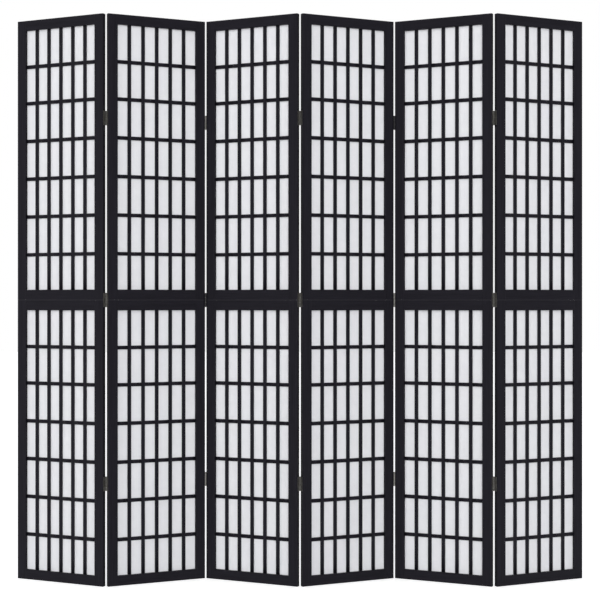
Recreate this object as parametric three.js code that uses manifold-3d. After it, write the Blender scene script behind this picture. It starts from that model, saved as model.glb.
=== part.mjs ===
// Folding paper screen: six lattice panels, each in two stacked halves, on fifteen butt hinges.
// Millimetres, +Z up, front towards -Y, origin on the floor under the middle of the screen.
import * as THREE from 'three';
import { mergeVertices } from 'three/addons/utils/BufferGeometryUtils.js';
import Module from 'manifold-3d';

const wasm = await Module();
wasm.setup();

// ---- Driving dimensions ----

// Screen
const panelCount = 6;
const panelWidth = 400;
const halfHeight = 1099.85;       // one half panel
const panelThickness = 18;
const foldAngle = 25.77;          // degrees between a panel and the plane of the screen
const jointGap = 0.3;             // between the two stacked halves
const fitGap = 0.3;               // between pieces that are seated in each other

// Frame of one half panel
const stileWidth = 38.7;
const outerRail = 39;             // top rail of the upper half, bottom rail of the lower half
const innerRail = 40;             // the rails that meet at mid-height
const easedEdge = 0.5;            // chamfer on the outer edges of a half panel
const rebateWidth = 6;            // ledge behind the opening, on which the paper's border lies

// Lattice
const columns = 6;
const rows = 7;
const barWidth = 13.9;
const barDepth = 5.8;
const latticeSetBack = 5.5;       // from the front of the frame to the front of the lattice
const endRowLoss = 4;             // the first and last rows of cells are this much lower than the rest
const topBarDrop = 5.2;           // the top bar sits this much below its even place
const tenonLength = 5;            // of a bar's end, in the mortises of the frame

// Paper
const paperThickness = 0.5;

// Loose tongue between the mid rails
const tongueWidth = 240;
const tongueHeight = 32;
const tongueThickness = 5;
const tongueChamfer = 2;

// Hinges
const hingeHeight = 55;
const hingeBelowTop = 400;        // from the top of the screen to the middle of the top hinge
const hingeAboveFloor = 393;      // from the floor to the middle of the bottom hinge
const leafWidth = 14.5;           // from the face of the panel, across the edge of the stile
const leafThickness = 1.2;
const leafGap = 1;                // between the two leaves when the screen is opened flat
const knuckleRadius = 4;
const knuckleCount = 3;
const knuckleGap = 0.3;
const knuckleFacets = 10;         // round a knuckle
const barrelClearance = 0.45;     // from the barrel to the face of the panel
const pinRadius = 1.5;
const pinSides = 6;
const boreClearance = 0.3;        // round the pin

// How far a cutting block runs past the surface that it opens
const overrun = 1;

// ---- Worked out from them ----

const fold = THREE.MathUtils.degToRad(foldAngle);
const panelHeight = 2 * halfHeight + jointGap;
const openingWidth = panelWidth - 2 * stileWidth;
const openingHeight = halfHeight - outerRail - innerRail;
const columnPitch = (openingWidth + barWidth) / columns;
const rowHeight = (openingHeight + 2 * endRowLoss - (rows - 1) * barWidth) / rows;
const latticeBack = latticeSetBack + barDepth;
const pinOffset = knuckleRadius + barrelClearance;   // pin axis beyond the face of the panel
const mortiseDepth = leafThickness + fitGap;
const hingeCentres = {
  top: panelHeight - hingeBelowTop,
  middle: panelHeight / 2,
  bottom: hingeAboveFloor,
};

// ---- Solids ----

// A closed geometry as a solid that can be cut and joined.
function solid(geometry) {
  const bare = geometry.clone();
  bare.deleteAttribute('normal');
  bare.deleteAttribute('uv');
  const merged = mergeVertices(bare, 1e-5);
  return new wasm.Manifold(new wasm.Mesh({
    numProp: 3,
    vertProperties: new Float32Array(merged.attributes.position.array),
    triVerts: new Uint32Array(merged.index.array),
  }));
}

function geometryOf(body) {
  const mesh = body.getMesh();
  const geometry = new THREE.BufferGeometry();
  geometry.setAttribute('position', new THREE.BufferAttribute(mesh.vertProperties, 3));
  geometry.setIndex(new THREE.BufferAttribute(mesh.triVerts, 1));
  geometry.computeVertexNormals();
  return geometry;
}

// A box between two corners.
function block([x0, y0, z0], [x1, y1, z1]) {
  const box = new THREE.BoxGeometry(x1 - x0, y1 - y0, z1 - z0);
  box.translate((x0 + x1) / 2, (y0 + y1) / 2, (z0 + z1) / 2);
  return solid(box);
}

function rectangle(x0, y0, x1, y1) {
  return new THREE.Shape([
    new THREE.Vector2(x0, y0), new THREE.Vector2(x1, y0),
    new THREE.Vector2(x1, y1), new THREE.Vector2(x0, y1),
  ]);
}

// A flat plate from an outline in X and Z, with its two faces chamfered, between y0 and y1.
function bevelledPlate(x0, z0, x1, z1, y0, y1, chamfer) {
  const outline = rectangle(x0 + chamfer, z0 + chamfer, x1 - chamfer, z1 - chamfer);
  const plate = new THREE.ExtrudeGeometry(outline, {
    depth: y1 - y0 - 2 * chamfer,
    bevelEnabled: true,
    bevelSegments: 1,
    bevelSize: chamfer,
    bevelThickness: chamfer,
  });
  plate.rotateX(Math.PI / 2);
  plate.translate(0, y1 - chamfer, 0);
  return solid(plate);
}

// An upright round bar on the Z axis.
function rod(radius, z0, z1, sides) {
  const bar = new THREE.CylinderGeometry(radius, radius, z1 - z0, sides);
  bar.rotateX(Math.PI / 2);
  bar.translate(0, 0, (z0 + z1) / 2);
  return solid(bar);
}

const unite = (bodies) => bodies.reduce((whole, body) => whole.add(body));
const cut = (body, tools) => tools.reduce((rest, tool) => rest.subtract(tool), body);

// ---- Half panel: frame, lattice and paper ----
// In the panel's own frame: X from its left edge, Y from its front face to its back, Z from the floor.

// Lowest and highest level of a half, its opening and its end rails.
function halfLevels(half) {
  const bottom = half === 'upper' ? halfHeight + jointGap : 0;
  const lowerRail = half === 'upper' ? innerRail : outerRail;
  return {
    bottom,
    top: bottom + halfHeight,
    openingBottom: bottom + lowerRail,
    openingTop: bottom + lowerRail + openingHeight,
  };
}

// Left sides of the upright bars.
function uprightBars() {
  return Array.from({ length: columns - 1 }, (_, i) => stileWidth + (i + 1) * columnPitch - barWidth);
}

// Undersides of the level bars of one half, from the lowest one up.
function levelBars(half) {
  const lowest = halfLevels(half).openingBottom + rowHeight - endRowLoss;
  const count = rows - 1;
  return Array.from({ length: count }, (_, i) =>
    lowest + i * (rowHeight + barWidth) - (i === count - 1 ? topBarDrop : 0));
}

// The lattice: uprights and level bars, half-lapped flush where they cross. Their ends are tenons
// that reach into the stiles and rails.
function lattice(half) {
  const { openingBottom, openingTop } = halfLevels(half);
  const low = openingBottom - tenonLength;
  const high = openingTop + tenonLength;
  const left = stileWidth - tenonLength;
  const right = stileWidth + openingWidth + tenonLength;
  const uprights = uprightBars().map((x) =>
    block([x, latticeSetBack, low], [x + barWidth, latticeBack, high]));
  const levels = levelBars(half).map((z) =>
    block([left, latticeSetBack, z], [right, latticeBack, z + barWidth]));
  return unite([...uprights, ...levels]);
}

// Seat of one hinge leaf in the edge of a stile.
function leafMortise(side, barrel, height) {
  const width = leafWidth + fitGap;
  const x0 = side === 'left' ? -overrun : panelWidth - mortiseDepth;
  const x1 = side === 'left' ? mortiseDepth : panelWidth + overrun;
  const y0 = barrel === 'front' ? -overrun : panelThickness - width;
  const y1 = barrel === 'front' ? width : panelThickness + overrun;
  const half = hingeHeight / 2 + fitGap;
  return block([x0, y0, height - half], [x1, y1, height + half]);
}

// Slot for the loose tongue, cut across the joint between the two halves.
function tongueSlot() {
  const middle = panelHeight / 2;
  const halfWidth = tongueWidth / 2 + fitGap;
  const halfSlot = tongueHeight / 2 + fitGap;
  const halfDepth = tongueThickness / 2 + fitGap;
  return block(
    [panelWidth / 2 - halfWidth, panelThickness / 2 - halfDepth, middle - halfSlot],
    [panelWidth / 2 + halfWidth, panelThickness / 2 + halfDepth, middle + halfSlot],
  );
}

function halfFrame(half, mortises) {
  const { bottom, top, openingBottom, openingTop } = halfLevels(half);
  const right = stileWidth + openingWidth;
  const opening = block(
    [stileWidth, -overrun, openingBottom],
    [right, panelThickness + overrun, openingTop],
  );
  const rebate = block(
    [stileWidth - rebateWidth, latticeBack, openingBottom - rebateWidth],
    [right + rebateWidth, panelThickness + overrun, openingTop + rebateWidth],
  );
  const border = bevelledPlate(0, bottom, panelWidth, top, 0, panelThickness, easedEdge);
  return cut(cut(border, [opening, rebate]).add(lattice(half)), [tongueSlot(), ...mortises]);
}

function paper(half) {
  const { openingBottom, openingTop } = halfLevels(half);
  const border = rebateWidth - fitGap;
  const front = latticeBack + fitGap;
  return block(
    [stileWidth - border, front, openingBottom - border],
    [stileWidth + openingWidth + border, front + paperThickness, openingTop + border],
  );
}

function tongue() {
  const middle = panelHeight / 2;
  return bevelledPlate(
    (panelWidth - tongueWidth) / 2, middle - tongueHeight / 2,
    (panelWidth + tongueWidth) / 2, middle + tongueHeight / 2,
    (panelThickness - tongueThickness) / 2, (panelThickness + tongueThickness) / 2,
    tongueChamfer,
  );
}

// ---- Hinge leaves ----
// On the pin axis, with the stile towards +X and +Y, middle of the hinge at Z = 0.

const knuckleHeight = (hingeHeight - (knuckleCount - 1) * knuckleGap) / knuckleCount;

// Lower and upper end of each knuckle that belongs to a leaf: the pin leaf has the odd ones.
function knuckleSpans(leaf) {
  const first = leaf === 'pin' ? 0 : 1;
  const spans = [];
  for (let i = first; i < knuckleCount; i += 2) {
    const z0 = -hingeHeight / 2 + i * (knuckleHeight + knuckleGap);
    spans.push([z0, z0 + knuckleHeight]);
  }
  return spans;
}

// One knuckle with the neck that joins it to the flange, as the strip is rolled round the pin.
function knuckle([z0, z1], hole) {
  const near = leafGap / 2;
  const far = near + leafThickness;
  const end = pinOffset + leafThickness;
  const outline = new THREE.Shape();
  outline.moveTo(near, end);
  outline.absarc(0, 0, knuckleRadius, Math.acos(near / knuckleRadius),
    2 * Math.PI + Math.acos(far / knuckleRadius), false);
  outline.lineTo(far, end);
  outline.closePath();
  if (hole) outline.holes.push(hole);
  const rolled = new THREE.ExtrudeGeometry(outline, {
    depth: z1 - z0, bevelEnabled: false, curveSegments: knuckleFacets / 2,
  });
  rolled.translate(0, 0, z0);
  return solid(rolled);
}

// The flat part of a leaf, screwed to the edge of the stile.
function flange() {
  const near = leafGap / 2;
  const half = hingeHeight / 2;
  return block([near, pinOffset, -half], [near + leafThickness, pinOffset + leafWidth, half]);
}

function pinLeaf() {
  const half = hingeHeight / 2;
  const knuckles = knuckleSpans('pin').map((span) => knuckle(span));
  return unite([flange(), ...knuckles, rod(pinRadius, -half, half, pinSides)]);
}

function plainLeaf() {
  const boreRadius = (pinRadius + boreClearance) / Math.cos(Math.PI / pinSides);
  const bore = new THREE.Path(Array.from({ length: pinSides }, (_, i) => {
    const angle = (2 * Math.PI * i) / pinSides;
    return new THREE.Vector2(boreRadius * Math.cos(angle), boreRadius * Math.sin(angle));
  }));
  return unite([flange(), ...knuckleSpans('plain').map((span) => knuckle(span, bore))]);
}

// ---- Materials ----

const lacqueredWood = { color: 0x252429, roughness: 0.5, metalness: 0 };
const whitePaper = { color: 0xe5e6ea, roughness: 0.9, metalness: 0 };
const plainWood = { color: 0xb58f62, roughness: 0.8, metalness: 0 };
const satinSteel = { color: 0x8c8c8e, roughness: 0.35, metalness: 1 };

function named(name, geometry, finish) {
  const mesh = new THREE.Mesh(geometry, new THREE.MeshStandardMaterial(finish));
  mesh.name = name;
  return mesh;
}

// ---- Layout of the screen ----

// Folds are numbered by the panel on their left. Odd folds come towards the viewer, and carry
// their barrels behind.
const barrelSide = (panel) => (panel % 2 === 1 ? 'back' : 'front');
const isHinged = (panel) => panel >= 1 && panel < panelCount;

// Turns a leaf, made for a left edge with its barrel in front, to the edge that it is for.
function turnLeaf(mesh, side, barrel) {
  if (side === 'left' && barrel === 'back') mesh.rotation.x = Math.PI;
  if (side === 'right' && barrel === 'front') mesh.rotation.y = Math.PI;
  if (side === 'right' && barrel === 'back') mesh.rotation.z = Math.PI;
}

// Pin axis of one edge, in the panel's own frame.
function pinAxis(side, barrel) {
  return new THREE.Vector2(
    side === 'left' ? -leafGap / 2 : panelWidth + leafGap / 2,
    barrel === 'front' ? -pinOffset : panelThickness + pinOffset,
  );
}

const pinLeafGeometry = geometryOf(pinLeaf());
const plainLeafGeometry = geometryOf(plainLeaf());
const tongueGeometry = geometryOf(tongue());
const paperGeometry = { upper: geometryOf(paper('upper')), lower: geometryOf(paper('lower')) };

// A panel holds the pin leaves of the fold on its right and the plain leaves of the one on its left.
function panelLeaves(panel) {
  const leaves = [];
  const edges = [
    { side: 'left', foldNumber: panel - 1, kind: 'plain', geometry: plainLeafGeometry },
    { side: 'right', foldNumber: panel, kind: 'pin', geometry: pinLeafGeometry },
  ];
  for (const { side, foldNumber, kind, geometry } of edges.filter((e) => isHinged(e.foldNumber))) {
    const barrel = barrelSide(foldNumber);
    const axis = pinAxis(side, barrel);
    for (const [place, height] of Object.entries(hingeCentres)) {
      const name = `hinge_${foldNumber}_${foldNumber + 1}_${place}_${kind}_leaf`;
      const leaf = named(name, geometry, satinSteel);
      leaf.position.set(axis.x, axis.y, height);
      turnLeaf(leaf, side, barrel);
      leaves.push(leaf);
    }
  }
  return leaves;
}

function panelMortises(panel) {
  const heights = Object.values(hingeCentres);
  const left = isHinged(panel - 1) ? heights.map((z) => leafMortise('left', barrelSide(panel - 1), z)) : [];
  const right = isHinged(panel) ? heights.map((z) => leafMortise('right', barrelSide(panel), z)) : [];
  return [...left, ...right];
}

function makePanel(panel) {
  const group = new THREE.Group();
  const mortises = panelMortises(panel);
  for (const half of ['upper', 'lower']) {
    const frame = geometryOf(halfFrame(half, mortises));
    group.add(named(`panel_${panel}_${half}_frame`, frame, lacqueredWood));
    group.add(named(`panel_${panel}_${half}_paper`, paperGeometry[half], whitePaper));
  }
  group.add(named(`panel_${panel}_tongue`, tongueGeometry, plainWood));
  group.add(...panelLeaves(panel));
  return group;
}

// Angle of each panel: odd panels come towards the viewer from left to right, even ones go away.
const panelTurn = (panel) => (panel % 2 === 1 ? -fold : fold);

// Hangs each panel on the pins of the one before it.
function placePanels(panels) {
  const origin = new THREE.Vector2(0, 0);
  panels.forEach((group, index) => {
    const panel = index + 1;
    if (panel > 1) {
      const barrel = barrelSide(panel - 1);
      const before = pinAxis('right', barrel).rotateAround(new THREE.Vector2(), panelTurn(panel - 1));
      const after = pinAxis('left', barrel).rotateAround(new THREE.Vector2(), panelTurn(panel));
      origin.add(before).sub(after);
    }
    group.rotation.z = panelTurn(panel);
    group.position.set(origin.x, origin.y, 0);
  });
}

const screen = new THREE.Group();
const panels = Array.from({ length: panelCount }, (_, index) => makePanel(index + 1));
placePanels(panels);
screen.add(...panels);

// Centres the screen on its footprint.
screen.updateMatrixWorld(true);
const footprint = new THREE.Box3().setFromObject(screen, true);
screen.position.x = -(footprint.min.x + footprint.max.x) / 2;
screen.position.y = -(footprint.min.y + footprint.max.y) / 2;

export default screen;
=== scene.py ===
# %% [markdown]
# # A folding paper screen
#
# Six tall panels of black lacquered wood stand in a zigzag, each with white paper behind a lattice.
# A panel is a pair of stacked halves, and neighbours hang on three small butt hinges.
#
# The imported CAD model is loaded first. It fixes where everything is and how it moves. The cells that
# follow dress it: they stand detailed pieces in the places of its plain solids and give each one a
# finish. Everything is in metres, with +Z up and the front towards -Y.

# %% Load the frame
import itertools
import math
import random

import bmesh
import bpy
from mathutils import Matrix, Vector


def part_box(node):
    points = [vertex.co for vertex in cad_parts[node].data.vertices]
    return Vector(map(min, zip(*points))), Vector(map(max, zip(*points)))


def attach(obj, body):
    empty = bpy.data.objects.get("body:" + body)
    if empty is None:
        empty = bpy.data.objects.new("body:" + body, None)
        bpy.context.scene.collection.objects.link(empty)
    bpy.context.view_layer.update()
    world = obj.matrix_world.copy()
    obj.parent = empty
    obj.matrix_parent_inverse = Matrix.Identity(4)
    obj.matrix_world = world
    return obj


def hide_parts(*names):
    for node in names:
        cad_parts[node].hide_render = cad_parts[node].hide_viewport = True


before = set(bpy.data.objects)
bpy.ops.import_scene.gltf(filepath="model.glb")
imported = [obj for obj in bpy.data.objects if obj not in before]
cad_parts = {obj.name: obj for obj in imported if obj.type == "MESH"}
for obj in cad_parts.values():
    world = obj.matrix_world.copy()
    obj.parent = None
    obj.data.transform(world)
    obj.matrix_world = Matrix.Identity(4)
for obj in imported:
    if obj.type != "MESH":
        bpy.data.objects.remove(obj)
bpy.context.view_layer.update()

# %% [markdown]
# ## The camera
#
# The near and far edges of the panels differ little in height, so the screen was seen from far off
# through a long lens. The camera stands level, at half the height of the screen, square to its middle:
# the upright edges then stay upright and the joint between the halves is a straight level line. One
# could tilt or shift a camera to the same view, but a level one needs neither.

# %% Camera
CAMERA_DISTANCE = 5.670
EYE_HEIGHT = 1.1
LENS = 87.24
FAR_CLIP = 60


def add_object(name, data):
    """A new object in the scene."""
    new = bpy.data.objects.new(name, data)
    bpy.context.scene.collection.objects.link(new)
    return new


camera = add_object("camera", bpy.data.cameras.new("camera"))
camera.location = (0, -CAMERA_DISTANCE, EYE_HEIGHT)
camera.rotation_euler = (math.radians(90), 0, 0)
camera.data.lens = LENS
camera.data.sensor_width = 36
camera.data.clip_end = FAR_CLIP
bpy.context.scene.camera = camera
print("camera at", tuple(round(x, 2) for x in camera.location))

# %% [markdown]
# ## Sizes
#
# These are the sizes that a joiner would write on the drawing of one panel. Places along a panel are
# worked out from them: X from its left edge, Y from its front face and Z from the floor. The upper half
# stands on the lower one, so their seam is all but closed. The camera looks straight along it, and even
# a tenth of a millimetre would show the background as a bright line.

# %% Sizes of a panel
MM = 0.001
PANELS = 6
PANEL_WIDTH = 400 * MM
PANEL_HEIGHT = 2200 * MM
THICKNESS = 18 * MM
HALF_HEIGHT = 1099.85 * MM
SEAM = 0.01 * MM
FOLD_ANGLE = math.radians(25.77)

STILE_WIDTH = 38.7 * MM
OUTER_RAIL = 39 * MM
INNER_RAIL = 40 * MM
REBATE_WIDTH = 6 * MM

COLUMNS, ROWS = 6, 7
BAR_WIDTH = 13.9 * MM
BAR_DEPTH = 5.8 * MM
BAR_FRONT = 5.5 * MM
END_ROW_LOSS = 4 * MM
TOP_BAR_DROP = 5.2 * MM

BAR_BACK = BAR_FRONT + BAR_DEPTH
OPENING_LEFT, OPENING_RIGHT = STILE_WIDTH, PANEL_WIDTH - STILE_WIDTH
OPENING_HEIGHT = HALF_HEIGHT - OUTER_RAIL - INNER_RAIL
COLUMN_PITCH = (OPENING_RIGHT - OPENING_LEFT + BAR_WIDTH) / COLUMNS
ROW_HEIGHT = (OPENING_HEIGHT + 2 * END_ROW_LOSS - (ROWS - 1) * BAR_WIDTH) / ROWS
print(f"cells are {(COLUMN_PITCH - BAR_WIDTH) / MM:.1f} mm wide and {ROW_HEIGHT / MM:.1f} mm high")


# %% Levels of a half, and its bars
def half_levels(half):
    """Bottom and top of a half panel, and bottom and top of its opening."""
    middle = PANEL_HEIGHT / 2
    if half == "upper":
        opening_top = PANEL_HEIGHT - OUTER_RAIL
        return middle + SEAM / 2, PANEL_HEIGHT, opening_top - OPENING_HEIGHT, opening_top
    return 0, middle - SEAM / 2, OUTER_RAIL, OUTER_RAIL + OPENING_HEIGHT


def upright_bars():
    """Left sides of the upright bars."""
    return [OPENING_LEFT + (i + 1) * COLUMN_PITCH - BAR_WIDTH for i in range(COLUMNS - 1)]


def level_bars(half):
    """Undersides of the level bars, from the lowest one up. The top one sits a little low."""
    lowest = half_levels(half)[2] + ROW_HEIGHT - END_ROW_LOSS
    heights = [lowest + i * (ROW_HEIGHT + BAR_WIDTH) for i in range(ROWS - 1)]
    heights[-1] -= TOP_BAR_DROP
    return heights


print("level bars of the lower half:", [round(z / MM) for z in level_bars("lower")])

# %% [markdown]
# ## Where each panel stands
#
# A panel is modelled lying along X, as on a bench, and then carried to its place in the zigzag. The
# middle of its frame is the middle of the box round the CAD node, and the turn is the fold angle, one
# way for odd panels and the other way for even ones. Carrying the points of the mesh, and not the
# object, keeps every object at the origin, as the CAD nodes are.

# %% Places of the panels
def panel_place(panel):
    """From a panel's own frame to where it stands."""
    low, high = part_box(f"panel_{panel}_upper_frame")
    turn = Matrix.Rotation(-FOLD_ANGLE if panel % 2 else FOLD_ANGLE, 4, "Z")
    middle = Matrix.Translation(((low.x + high.x) / 2, (low.y + high.y) / 2, 0))
    return middle @ turn @ Matrix.Translation((-PANEL_WIDTH / 2, -THICKNESS / 2, 0))


for panel in range(1, PANELS + 1):
    corner = panel_place(panel) @ Vector((0, 0, 0))
    print(f"panel {panel}: front left corner at x {corner.x:.3f}, y {corner.y:.3f}")

# %% [markdown]
# ## Shared effects for the finishes
#
# Rubbed edges and dust appear in more than one finish, and grain and paper fibres could. Each is built
# once, as a node group with named sockets, and placed in a material with that material's own values. The
# groups only give masks and values that change over the surface. The shader stays in the material.
#
# Small helpers place a node, fill in its settings and join its inputs, so that a material reads as a
# list of what it is made of.

# %% Node helpers
def set_inputs(tree, node, inputs):
    """Fills in a node's inputs. Each is a number, a colour or another node's output."""
    for name, value in inputs.items():
        if isinstance(value, bpy.types.NodeSocket):
            tree.links.new(value, node.inputs[name])
        else:
            node.inputs[name].default_value = value


def add_node(tree, kind, inputs=None, **settings):
    """A new node with its settings and inputs."""
    node = tree.nodes.new(kind)
    for name, value in settings.items():
        setattr(node, name, value)
    set_inputs(tree, node, inputs or {})
    return node


def new_group(name, inputs, outputs):
    """An empty node group with float sockets, its input node and its output node."""
    tree = bpy.data.node_groups.new(name, "ShaderNodeTree")
    for socket, value in inputs.items():
        added = tree.interface.new_socket(socket, in_out="INPUT", socket_type="NodeSocketFloat")
        added.default_value = value
    for socket in outputs:
        tree.interface.new_socket(socket, in_out="OUTPUT", socket_type="NodeSocketFloat")
    return tree, tree.nodes.new("NodeGroupInput"), tree.nodes.new("NodeGroupOutput")


def place_group(tree, group, values=None):
    """Outputs of a node group that is placed in a material with that material's own values."""
    return add_node(tree, "ShaderNodeGroup", values, node_tree=group).outputs


def calculate(tree, operation, first, second=0.0, clamp=False):
    """Output of a Math node."""
    inputs = {0: first, 1: second}
    return add_node(tree, "ShaderNodeMath", inputs, operation=operation, use_clamp=clamp).outputs[0]


def spread(tree, value, low, high, new_low=0.0, new_high=1.0):
    """Output of a Map Range node, clamped."""
    inputs = {"Value": value, "From Min": low, "From Max": high, "To Min": new_low, "To Max": new_high}
    return add_node(tree, "ShaderNodeMapRange", inputs).outputs["Result"]


def object_place(tree):
    """Where a point is, in metres."""
    return add_node(tree, "ShaderNodeTexCoord").outputs["Object"]


def noise(tree, place, scale, **more):
    """Output of a Noise Texture node."""
    return add_node(tree, "ShaderNodeTexNoise", {"Vector": place, "Scale": scale, **more}).outputs["Fac"]


print("node helpers are ready")

# %% [markdown]
# ### Wood grain
#
# The fibres of a board run along it, whichever way the board is turned. So each wooden member carries
# its own coordinates in an attribute named "grain": two across the member and the last along it, with
# an offset of its own so that no two boards are alike. Noise that is pulled out long in that direction
# gives the fibres. A wave texture would give rings, but straight-grained softwood under lacquer shows
# fine, nearly parallel streaks.

# %% Group: wood grain
def build_grain():
    """Fine fibres and broader streaks along a member."""
    values = {"Fibres per Metre": 700.0, "Stretch": 40.0}
    tree, start, end = new_group("wood grain", values, ("Fibres", "Streaks"))
    place = add_node(tree, "ShaderNodeAttribute", attribute_name="grain").outputs["Vector"]
    squeeze = calculate(tree, "DIVIDE", 1.0, start.outputs["Stretch"])
    scale = add_node(tree, "ShaderNodeCombineXYZ", {0: 1.0, 1: 1.0, 2: squeeze}).outputs[0]
    along = add_node(tree, "ShaderNodeVectorMath", {0: place, 1: scale}, operation="MULTIPLY").outputs[0]
    fine = start.outputs["Fibres per Metre"]
    broad = calculate(tree, "MULTIPLY", fine, 0.13)
    fibres = noise(tree, along, fine, Detail=2.0, Roughness=0.6)
    streaks = noise(tree, along, broad, Detail=3.0, Distortion=0.4)
    set_inputs(tree, end, {"Fibres": fibres, "Streaks": streaks})
    return tree


grain_group = build_grain()
print("group:", grain_group.name)

# %% [markdown]
# ### Rubbed edges and painted edge highlights
#
# Hands and other panels rub the arrises first. A Bevel node rounds the normals near an edge, and where
# they differ from the true ones there is an edge. Pointiness would be cheaper, but it lives in the
# vertices, and these members have few. Noise breaks the line up, because real wear comes and goes. The
# finishes that use this mask colour these edges lighter. That is wear, and it is also a painted highlight
# for the light that an arris catches.

# %% Group: rubbed edges and painted edge highlights
def build_abraded_and_highlit_edges():
    """A mask that is 1 on abraded edges; the finishes also use it to paint a highlight there."""
    values = {"Width": MM, "Patches per Metre": 30.0, "Coverage": 0.5}
    tree, start, end = new_group("abraded and highlit edges", values, ("Mask",))
    rounded = add_node(tree, "ShaderNodeBevel", {"Radius": start.outputs["Width"]}, samples=4).outputs[0]
    flat = add_node(tree, "ShaderNodeNewGeometry").outputs["Normal"]
    match = add_node(tree, "ShaderNodeVectorMath", {0: rounded, 1: flat}, operation="DOT_PRODUCT")
    edge = spread(tree, match.outputs["Value"], 0.99, 0.85)
    patches = noise(tree, object_place(tree), start.outputs["Patches per Metre"], Detail=4.0)
    level = calculate(tree, "SUBTRACT", 0.85, start.outputs["Coverage"])
    abraded_and_highlit = calculate(tree, "SUBTRACT", patches, level)
    abraded_and_highlit = calculate(tree, "MULTIPLY", abraded_and_highlit, 5.0, clamp=True)
    set_inputs(tree, end, {"Mask": calculate(tree, "MULTIPLY", edge, abraded_and_highlit)})
    return tree


abraded_and_highlit_edges_group = build_abraded_and_highlit_edges()
print("group:", abraded_and_highlit_edges_group.name)

# %% [markdown]
# ### Dust
#
# Dust lies where a surface faces up: on the top rail, on the level bars and on the upper ends of the
# hinges. The upward part of the normal picks those places, and noise makes it uneven.

# %% Group: dust
def build_dust():
    """A mask that is 1 where dust lies."""
    tree, start, end = new_group("settled dust", {"Amount": 0.3, "Specks per Metre": 60.0}, ("Mask",))
    normal = add_node(tree, "ShaderNodeNewGeometry").outputs["Normal"]
    upward = add_node(tree, "ShaderNodeSeparateXYZ", {0: normal}).outputs["Z"]
    facing_up = spread(tree, upward, 0.6, 0.98)
    specks = noise(tree, object_place(tree), start.outputs["Specks per Metre"], Detail=5.0, Roughness=0.7)
    cover = calculate(tree, "MULTIPLY", spread(tree, specks, 0.35, 0.75), start.outputs["Amount"])
    set_inputs(tree, end, {"Mask": calculate(tree, "MULTIPLY", facing_up, cover)})
    return tree


dust_group = build_dust()
print("group:", dust_group.name)

# %% [markdown]
# ## The finishes
#
# ### Black lacquer
#
# The frames have a satin black lacquer, thin enough to leave a trace of the grain. Its colour is nearly
# even. What tells wood from plastic here is the sheen: the roughness and a very low bump follow the
# fibres. Rubbed arrises are a little greyer, partly from wear and partly as a painted highlight, and dust
# lightens the faces that look up. Along the whole joint where the two halves stand on each other, a fine
# grey line is painted as a highlight of the eased arrises that meet there.

# %% Material helpers
def new_material(name):
    """A material with its Principled shader, ready for nodes."""
    material = bpy.data.materials.new(name)
    material.use_nodes = True
    return material, material.node_tree, material.node_tree.nodes["Principled BSDF"]


def blend_colours(tree, factor, first, second):
    """Output of a Mix node between two colours."""
    inputs = {0: factor, 6: first, 7: second}
    return add_node(tree, "ShaderNodeMix", inputs, data_type="RGBA").outputs[2]


def raised(tree, height, distance):
    """Normals of a surface that is raised by a height."""
    inputs = {"Height": height, "Distance": distance, "Strength": 1.0}
    return add_node(tree, "ShaderNodeBump", inputs).outputs["Normal"]


print("material helpers are ready")

# %% Black lacquer
LACQUER_DEEP = (0.0070, 0.0064, 0.0095, 1)
LACQUER_LIGHT = (0.0122, 0.0113, 0.0160, 1)
# Lighter grey for rubbed arrises, also used as a painted highlight on them and along the seam.
LACQUER_ABRADED_AND_HIGHLIT = (0.038, 0.037, 0.041, 1)
SEAM_HIGHLIGHT_BAND = 0.8 * MM
DUST_GREY = (0.15, 0.15, 0.15, 1)


def make_lacquer():
    """Satin black lacquer on straight-grained wood."""
    material, tree, shader = new_material("black lacquer")
    grain = place_group(tree, grain_group, {"Fibres per Metre": 600.0, "Stretch": 45.0})
    abrasion_and_highlight = place_group(tree, abraded_and_highlit_edges_group, {"Width": 0.9 * MM, "Coverage": 0.42})
    dust = place_group(tree, dust_group, {"Amount": 0.25})
    both = calculate(tree, "ADD", grain["Streaks"], calculate(tree, "MULTIPLY", grain["Fibres"], 2.0))
    figure = spread(tree, both, 1.15, 1.85)
    colour = blend_colours(tree, figure, LACQUER_DEEP, LACQUER_LIGHT)
    # A fine grey line along the seam of the two halves: a painted highlight of its eased arrises.
    level = add_node(tree, "ShaderNodeSeparateXYZ", {0: object_place(tree)}).outputs["Z"]
    off_seam = calculate(tree, "ABSOLUTE", calculate(tree, "SUBTRACT", level, PANEL_HEIGHT / 2))
    seam_highlight = spread(tree, off_seam, SEAM_HIGHLIGHT_BAND, 0.8 * SEAM_HIGHLIGHT_BAND, 0.0, 0.9)
    # Rubbed arrises are lighter partly from wear and partly as a painted highlight.
    abraded_and_highlit = calculate(tree, "MAXIMUM", abrasion_and_highlight["Mask"], seam_highlight)
    colour = blend_colours(tree, abraded_and_highlit, colour, LACQUER_ABRADED_AND_HIGHLIT)
    sheen = spread(tree, figure, 0, 1, 0.38, 0.54)
    set_inputs(tree, shader, {
        "Base Color": blend_colours(tree, dust["Mask"], colour, DUST_GREY),
        "Roughness": calculate(tree, "ADD", sheen, calculate(tree, "MULTIPLY", dust["Mask"], 0.6)),
        "Specular IOR Level": 0.085,
        "Normal": raised(tree, grain["Fibres"], 0.10 * MM),
    })
    return material


lacquer = make_lacquer()
print("material:", lacquer.name)

# %% [markdown]
# ### Paper
#
# The paper is white, matt and translucent. Looked at closely it is felted from long fibres that cross at
# random, with thin and thick places. Three sets of stretched noise, each turned by a different angle,
# give the fibres; a broad noise gives the clouds. Both stay faint, because from a few steps away the
# sheets read as one even white.
#
# Some of the light that falls on one side shows on the other: from behind, the bars are seen as soft
# grey stripes. A Translucent shader mixed with the Principled one does that. Transmission would make
# the sheet clear, and subsurface scattering takes no account of how thin it is.

# %% Group: paper fibres
FIBRE_STRETCH = 17


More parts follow.
